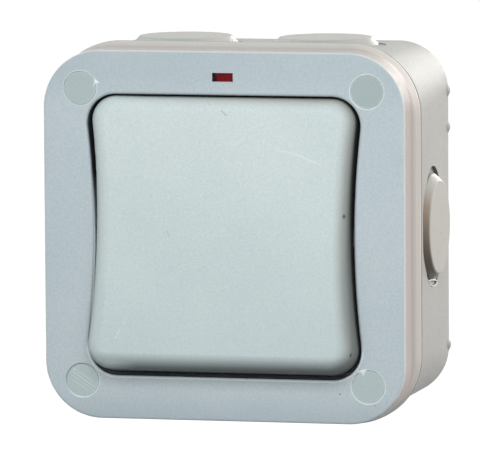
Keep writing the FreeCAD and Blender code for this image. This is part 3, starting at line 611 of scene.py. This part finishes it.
def flash_skin(name, axis, outward, along):
    """A skin of flash across one pry notch of a plug."""
    sink, thickness, clearance = 0.35 * MM, 0.4 * MM, 0.01 * MM
    half_turn, steps = 65, 24
    across = outward.cross(along)
    middle = axis + along * NOTCH_OFFSET - outward * sink
    rim = []
    for step in range(steps + 1):
        angle = math.radians(half_turn * (2 * step / steps - 1))
        spoke = along * math.cos(angle) + across * math.sin(angle)
        rim.append(middle + spoke * (NOTCH_RADIUS - clearance))
    under = [point - outward * thickness for point in rim]
    count = len(rim)
    faces = [tuple(range(count)), tuple(reversed(range(count, 2 * count)))]
    for index in range(count):
        after = (index + 1) % count
        faces.append((index, count + index, count + after, after))
    housing_piece(name, rim + under, faces, box_plastic)


flash_skin("skin_plug_right", Vector((WALL_HALF, PLUG_Y, 0)), RIGHT, DOWN)
flash_skin("skin_plug_top_right", plug_middle("plug_top_right"), TOP, RIGHT)


def painted_highlight_loop(name, middle, half_wide, rise, drop, fall, thickness):
    """A thin white ring on the right-hand wall, a painted highlight along a pry notch's lower rim, flat
    above and round below, falling towards the back.
    """
    turns, sides = 40, 8
    long_way = Vector((0, 1, -fall)).normalized()
    short_way = Vector((0, fall, 1)).normalized()
    points = []
    for turn in range(turns):
        angle = 2 * math.pi * turn / turns
        half_high = rise if math.sin(angle) > 0 else drop
        spoke = long_way * half_wide * math.cos(angle) + short_way * half_high * math.sin(angle)
        normal = long_way * math.cos(angle) * half_high + short_way * math.sin(angle) * half_wide
        normal.normalize()
        for side in range(sides):
            bend = 2 * math.pi * side / sides
            ring = normal * math.cos(bend) + RIGHT * math.sin(bend)
            points.append(middle + spoke + ring * thickness)
    faces = []
    for turn in range(turns):
        here, after = turn * sides, (turn + 1) % turns * sides
        for side in range(sides):
            beyond = (side + 1) % sides
            faces.append((here + side, after + side, after + beyond, here + beyond))
    housing_piece(name, points, faces, flash_and_highlight_plastic, True)


# painted highlight: a white ring along the lower rim of the right-hand plug's notch
painted_highlight_loop(
    "highlight_plug_right", Vector((WALL_HALF, -21.2 * MM, -13.45 * MM)), half_wide=4.7 * MM,
    rise=0.35 * MM, drop=1.15 * MM, fall=0.113, thickness=0.18 * MM,
)


# Rubber boot under the rocker: a flange, a folded wall and a cap that leans with the rocker
def boot_ring(half, y, lean):
    """Rounded rectangle across Y, turned about the rocker's axis by a share of its tilt."""
    corner, narrower, steps = 3.0 * MM, 0.2 * MM, 6
    points = []
    for quarter, (sign_x, sign_z) in enumerate(((1, 1), (-1, 1), (-1, -1), (1, -1))):
        for step in range(steps + 1):
            angle = math.radians(90 * (quarter + step / steps))
            x = sign_x * (half - corner) + corner * math.cos(angle)
            z = sign_z * (half - corner - narrower) + corner * math.sin(angle)
            points.append(Vector((x, y, z)))
    turn = Matrix.Rotation(ROCKER_TILT * lean, 3, "X")
    return [turn @ (point - ROCKER_AXIS) + ROCKER_AXIS for point in points]


def seal_boot():
    """The folded boot that stands in for the plain seal, its cap leaning as the rocker does at rest."""
    flange_depth, cap_drop, wall_thickness = 1.2 * MM, 0.83 * MM, 0.9 * MM
    lean_rate = 1.15              # how much sooner than the height the lean is complete
    flange_half, root_half, cap_halves = 16.6, 14.2, (12.6, 8.0, 3.6)
    fold = ((13.5, 0.12), (13.0, 0.3), (13.1, 0.48), (13.5, 0.62), (13.5, 0.78), (13.2, 0.92))
    cap_y = ROCKER_AXIS.y + cap_drop
    rise = cap_y - SEAM_Y
    profile = [(flange_half, SEAM_Y + flange_depth, 0), (flange_half, SEAM_Y, 0), (root_half, SEAM_Y, 0)]
    profile += [(half, SEAM_Y + rise * share, min(1.0, share * lean_rate)) for half, share in fold]
    profile += [(half, cap_y, 1) for half in cap_halves]
    rings = [boot_ring(half * MM, y, lean) for half, y, lean in profile]
    count = len(rings[0])
    faces = []
    for level in range(len(rings) - 1):
        low, high = level * count, (level + 1) * count
        for index in range(count):
            after = (index + 1) % count
            faces.append((low + index, high + index, high + after, low + after))
    faces.append(tuple((len(rings) - 1) * count + index for index in range(count)))
    boot = mesh_piece("seal_boot", [point for ring in rings for point in ring], faces, seal_rubber, True)
    wall = boot.modifiers.new("wall", "SOLIDIFY")
    wall.thickness = wall_thickness
    wall.offset = -1.0
    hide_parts("rocker_seal")
    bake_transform(boot)


seal_boot()

# Springs copied and hung on the dolly's body
for pole in ("live", "neutral"):
    original = nodes["plunger_spring_" + pole]
    coil = bpy.data.objects.new("coil_" + pole, original.data.copy())
    coil.matrix_world = original.matrix_world.copy()
    scene.collection.objects.link(coil)
    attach(coil, "dolly")
    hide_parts("plunger_spring_" + pole)
    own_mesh(coil)


# Floor, well under the part, and a white surround that only the camera and reflections see
def seen_white(tree):
    """A value of 1 for the camera's own rays and for mirror and glass rays."""
    path = tree.nodes.new("ShaderNodeLightPath")
    total = path.outputs["Is Camera Ray"]
    for kind in ("Is Glossy Ray", "Is Transmission Ray"):
        either = tree.nodes.new("ShaderNodeMath")
        either.operation = "MAXIMUM"
        tree.links.new(total, either.inputs[0])
        tree.links.new(path.outputs[kind], either.inputs[1])
        total = either.outputs[0]
    return total


def paper():
    """Grey to the part, white to the camera."""
    material = bpy.data.materials.new("paper")
    material.use_nodes = True
    tree = material.node_tree
    base = tree.nodes["Principled BSDF"]
    base.inputs["Base Color"].default_value = linear(90, 90, 90)
    base.inputs["Roughness"].default_value = 0.9
    base.inputs["Specular IOR Level"].default_value = 0.1
    lift = tree.nodes.new("ShaderNodeEmission")
    tree.links.new(seen_white(tree), lift.inputs["Strength"])
    both = tree.nodes.new("ShaderNodeAddShader")
    tree.links.new(base.outputs[0], both.inputs[0])
    tree.links.new(lift.outputs[0], both.inputs[1])
    tree.links.new(both.outputs[0], tree.nodes["Material Output"].inputs["Surface"])
    return material


def lay_floor(reach, level):
    mesh = bpy.data.meshes.new("floor")
    corners = [(-reach, -reach, 0), (reach, -reach, 0), (reach, reach, 0), (-reach, reach, 0)]
    mesh.from_pydata(corners, [], [(0, 1, 2, 3)])
    mesh.materials.append(paper())
    floor = bpy.data.objects.new("floor", mesh)
    floor.location.z = level
    scene.collection.objects.link(floor)


def light_world(colour, strength):
    """A dim sky for the part and plain white for the camera."""
    world = bpy.data.worlds.new("studio")
    scene.world = world
    world.use_nodes = True
    tree = world.node_tree
    sky = tree.nodes["Background"]
    sky.inputs["Color"].default_value = colour
    sky.inputs["Strength"].default_value = strength
    white = tree.nodes.new("ShaderNodeBackground")
    white.inputs["Color"].default_value = (1, 1, 1, 1)
    white.inputs["Strength"].default_value = 1.0
    choose = tree.nodes.new("ShaderNodeMixShader")
    tree.links.new(seen_white(tree), choose.inputs[0])
    tree.links.new(sky.outputs[0], choose.inputs[1])
    tree.links.new(white.outputs[0], choose.inputs[2])
    tree.links.new(choose.outputs[0], tree.nodes["World Output"].inputs["Surface"])


def soft_light(name, place, size, power, colour):
    """A square soft box aimed at the middle of the part."""
    light = bpy.data.lights.new(name, "AREA")
    light.size = size
    light.energy = power
    light.color = colour
    lamp = bpy.data.objects.new(name, light)
    lamp.location = place
    direction = Vector((0, FRONT_Y / 2, 0)) - Vector(place)
    lamp.rotation_euler = direction.to_track_quat("-Z", "Y").to_euler()
    scene.collection.objects.link(lamp)


lay_floor(reach=6.0, level=-0.16)
light_world(colour=(0.93, 0.97, 1.0, 1.0), strength=0.06)
soft_light("key", (0.05, -0.55, 0.18), size=0.42, power=2.9, colour=(0.905, 0.985, 1.0))
soft_light("side", (0.8, 0.46, 0.36), size=0.4, power=7.3, colour=(1.0, 0.935, 0.89))
soft_light("rim", (0.18, 0.95, 0.2), size=0.3, power=2.6, colour=(1.0, 0.98, 0.95))
soft_light("fill", (-0.6, 0.3, 0.62), size=0.6, power=2.9, colour=(1.0, 0.98, 0.96))


def photo_camera(azimuth, elevation, roll, lens, distance, shift_right, shift_up):
    """Camera of the photo: its direction and roll in degrees, its long lens and its place in metres."""
    azimuth, elevation, roll = (math.radians(angle) for angle in (azimuth, elevation, roll))
    back = Vector((
        math.sin(azimuth) * math.cos(elevation),
        -math.cos(azimuth) * math.cos(elevation),
        math.sin(elevation),
    ))
    level = Vector((math.cos(azimuth), math.sin(azimuth), 0))
    upright = back.cross(level)
    right = math.cos(roll) * level + math.sin(roll) * upright
    up = math.cos(roll) * upright - math.sin(roll) * level
    data = bpy.data.cameras.new("camera")
    data.sensor_width = 36.0
    data.lens = lens
    data.clip_start = 0.05
    data.clip_end = 50
    camera = bpy.data.objects.new("camera", data)
    place = Vector((0, FRONT_Y, 0)) + distance * back + shift_right * right + shift_up * up
    camera.matrix_world = Matrix.Translation(place) @ Matrix((right, up, back)).transposed().to_4x4()
    scene.collection.objects.link(camera)
    scene.camera = camera


photo_camera(
    azimuth=14.11, elevation=5.93, roll=-0.37, lens=525.2,
    distance=1.6842, shift_right=0.00397, shift_up=0.00216,
)

scene.view_settings.view_transform = "Standard"

bpy.context.view_layer.update()
